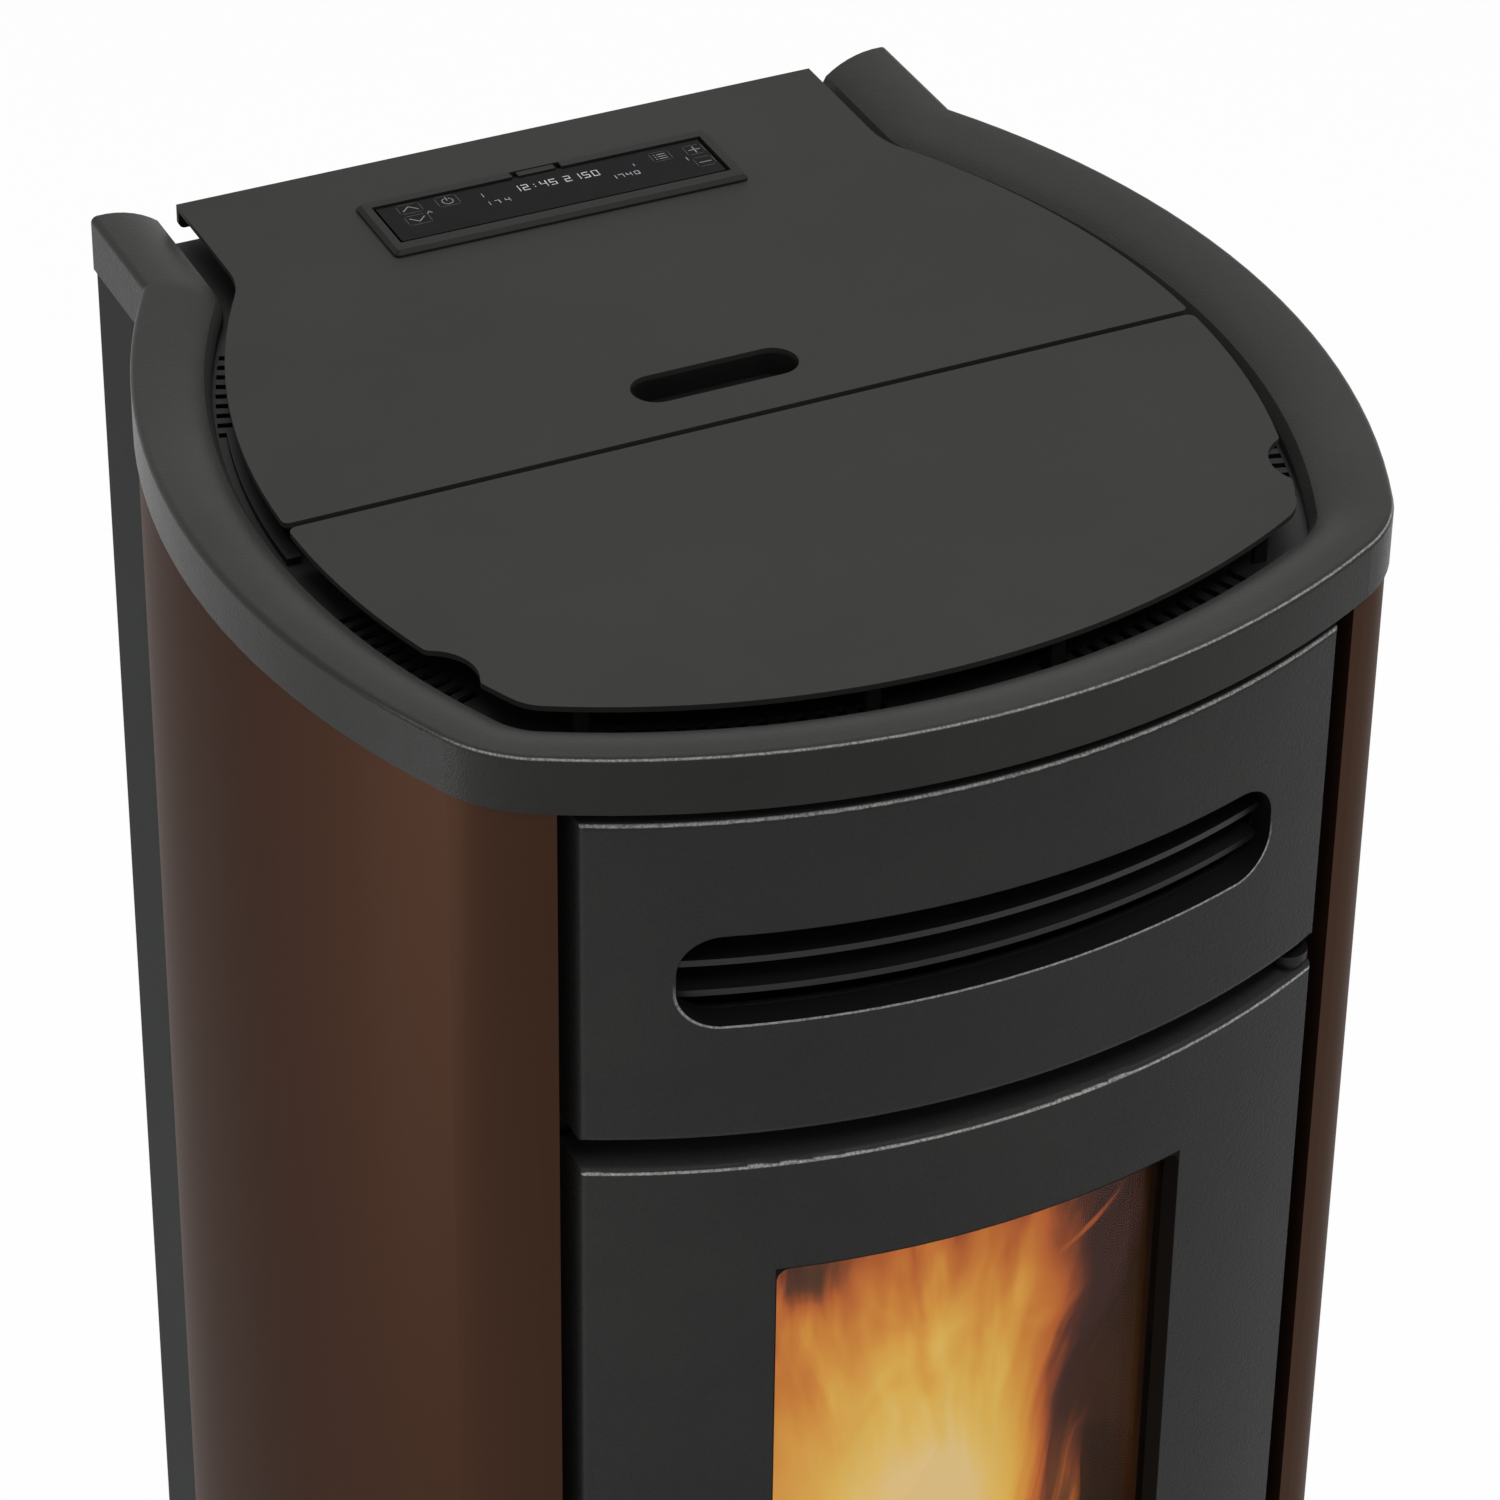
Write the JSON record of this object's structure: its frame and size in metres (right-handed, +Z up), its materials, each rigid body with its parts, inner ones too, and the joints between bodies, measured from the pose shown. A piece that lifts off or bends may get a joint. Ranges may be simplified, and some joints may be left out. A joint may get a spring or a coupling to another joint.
{
  "type": "pellet stove",
  "caption": "Free-standing pellet stove: cast top ring round a hinged hopper lid with a tilting display, bowed cast front with louvred slot, glazed door and ash drawer, bronze curved sides.",
  "frame": {"origin": "centre of the footprint's bounding box, on the floor under the feet", "axes": "+Z up, -Y towards the viewer out of the fire door, +X to the viewer's right"},
  "size_m": [0.5, 0.555, 1.058],
  "materials": {
    "ring_cast": "satin black enamel, fine texture",
    "charcoal_sheet": "matt charcoal powder coat",
    "bezel_plastic": "matt black",
    "display_glass": "glossy black",
    "front_cast": "matt black paint on cast iron",
    "bronze_sheet": "bronze paint, soft sheen",
    "grey_sheet": "matt grey powder coat",
    "firebox_steel": "heat-resistant black",
    "firebox_cast": "raw casting",
    "door_glass": "ceramic glass",
    "seal": "woven glass fibre",
    "handle_steel": "satin black",
    "zinc_steel": "zinc-plated",
    "motor_metal": "dark lacquer",
    "foot_rubber": "matt black",
    "black_plastic": "black",
    "board": "green solder mask"
  },
  "bodies": {
    "cabinet": {"ash_housing": "firebox_steel", "auger_gearmotor": "motor_metal", "auger_tube": "zinc_steel", "base_plate": "grey_sheet", "brazier_holder": "firebox_cast", "bronze_panel_left": "bronze_sheet", "bronze_panel_right": "bronze_sheet", "control_board": "board", "door_hinge_brackets": "zinc_steel", "door_keeper": "zinc_steel", "firebox_liner": "firebox_cast", "firebox_shell": "firebox_steel", "front_post_left": "grey_sheet", "front_post_right": "grey_sheet", "fume_channel": "firebox_steel", "fume_fan_housing": "firebox_cast", "fume_fan_motor": "motor_metal", "grille_panel": "front_cast", "heat_exchanger": "firebox_steel", "hopper": "zinc_steel", "hopper_gasket": "seal", "igniter": "zinc_steel", "lid_hinge_fixed": "charcoal_sheet", "louvre_insert": "front_cast", "mains_inlet": "black_plastic", "panel_screws": "zinc_steel", "pellet_chute": "firebox_steel", "rear_panel": "grey_sheet", "rear_side_panel_left": "grey_sheet", "rear_side_panel_right": "grey_sheet", "room_fan_housing": "zinc_steel", "room_fan_motor": "motor_metal", "smoke_baffle": "firebox_steel", "top_ring": "ring_cast", "vent_tray": "charcoal_sheet"},
    "lid": {"hopper_lid": "charcoal_sheet", "finger_cup": "charcoal_sheet", "lid_hinge_moving": "charcoal_sheet", "display_bezel": "bezel_plastic"},
    "display": {"display_module": "bezel_plastic", "display_screen": "display_glass"},
    "front_plate": {"front_plate": "charcoal_sheet"},
    "door": {"door_casting": "front_cast", "door_rope": "seal", "glass_gasket": "seal", "door_glass": "door_glass", "glass_clips": "zinc_steel"},
    "handle": {"door_handle": "handle_steel", "latch_cam": "handle_steel"},
    "ash_drawer": {"ash_drawer_front": "front_cast", "ash_drawer_pan": "firebox_steel"},
    "brazier": {"brazier": "firebox_cast"},
    "auger": {"auger_screw": "zinc_steel"},
    "fume_fan": {"fume_impeller": "zinc_steel"},
    "room_fan": {"room_fan_drum": "zinc_steel"},
    "rocker": {"rocker_switch": "black_plastic"},
    "foot_front_right": {"foot_front_right": "foot_rubber"},
    "foot_front_left": {"foot_front_left": "foot_rubber"},
    "foot_rear_right": {"foot_rear_right": "foot_rubber"},
    "foot_rear_left": {"foot_rear_left": "foot_rubber"}
  },
  "joints": [
    {"name": "lid_hinge", "type": "hinge", "parent": "cabinet", "child": "lid", "pos_m": [0, 0.226, 1.0485], "axis": [-1, 0, 0], "range_deg": [0, 75]},
    {"name": "display_tilt", "type": "hinge", "parent": "lid", "child": "display", "pos_m": [0, 0.1602, 1.0532], "axis": [1, 0, 0], "range_deg": [0, 30]},
    {"name": "front_plate_lift", "type": "slide", "parent": "cabinet", "child": "front_plate", "axis": [0, 0, 1], "range_m": [0, 0.1]},
    {"name": "door_hinge", "type": "hinge", "parent": "cabinet", "child": "door", "pos_m": [0.16, -0.23, 0.597], "axis": [0, 0, 1], "range_deg": [0, 100]},
    {"name": "handle_turn", "type": "hinge", "parent": "door", "child": "handle", "pos_m": [-0.142, -0.24, 0.49], "axis": [0, 1, 0], "range_deg": [0, 70]},
    {"name": "ash_drawer_slide", "type": "slide", "parent": "cabinet", "child": "ash_drawer", "axis": [0, -1, 0], "range_m": [0, 0.2]},
    {"name": "brazier_lift", "type": "slide", "parent": "cabinet", "child": "brazier", "axis": [0, 0, 1], "range_m": [0, 0.04]},
    {"name": "auger_spin", "type": "hinge", "parent": "cabinet", "child": "auger", "pos_m": [0, 0.11, 0.6], "axis": [0, -0.7071, 0.7071], "continuous": true},
    {"name": "fume_fan_spin", "type": "hinge", "parent": "cabinet", "child": "fume_fan", "pos_m": [0.117, 0.14, 0.165], "axis": [1, 0, 0], "continuous": true},
    {"name": "room_fan_spin", "type": "hinge", "parent": "cabinet", "child": "room_fan", "pos_m": [-0.1, 0.15, 0.114], "axis": [1, 0, 0], "continuous": true},
    {"name": "rocker_tilt", "type": "hinge", "parent": "cabinet", "child": "rocker", "pos_m": [-0.138, 0.23, 0.239], "axis": [-1, 0, 0], "range_deg": [0, 16]},
    {"name": "foot_front_right_turn", "type": "hinge", "parent": "cabinet", "child": "foot_front_right", "pos_m": [0.16, -0.17, 0.03], "axis": [0, 0, 1], "continuous": true},
    {"name": "foot_front_left_turn", "type": "hinge", "parent": "cabinet", "child": "foot_front_left", "pos_m": [-0.16, -0.17, 0.03], "axis": [0, 0, 1], "continuous": true},
    {"name": "foot_rear_right_turn", "type": "hinge", "parent": "cabinet", "child": "foot_rear_right", "pos_m": [0.15, 0.2, 0.03], "axis": [0, 0, 1], "continuous": true},
    {"name": "foot_rear_left_turn", "type": "hinge", "parent": "cabinet", "child": "foot_rear_left", "pos_m": [-0.15, 0.2, 0.03], "axis": [0, 0, 1], "continuous": true}
  ]
}
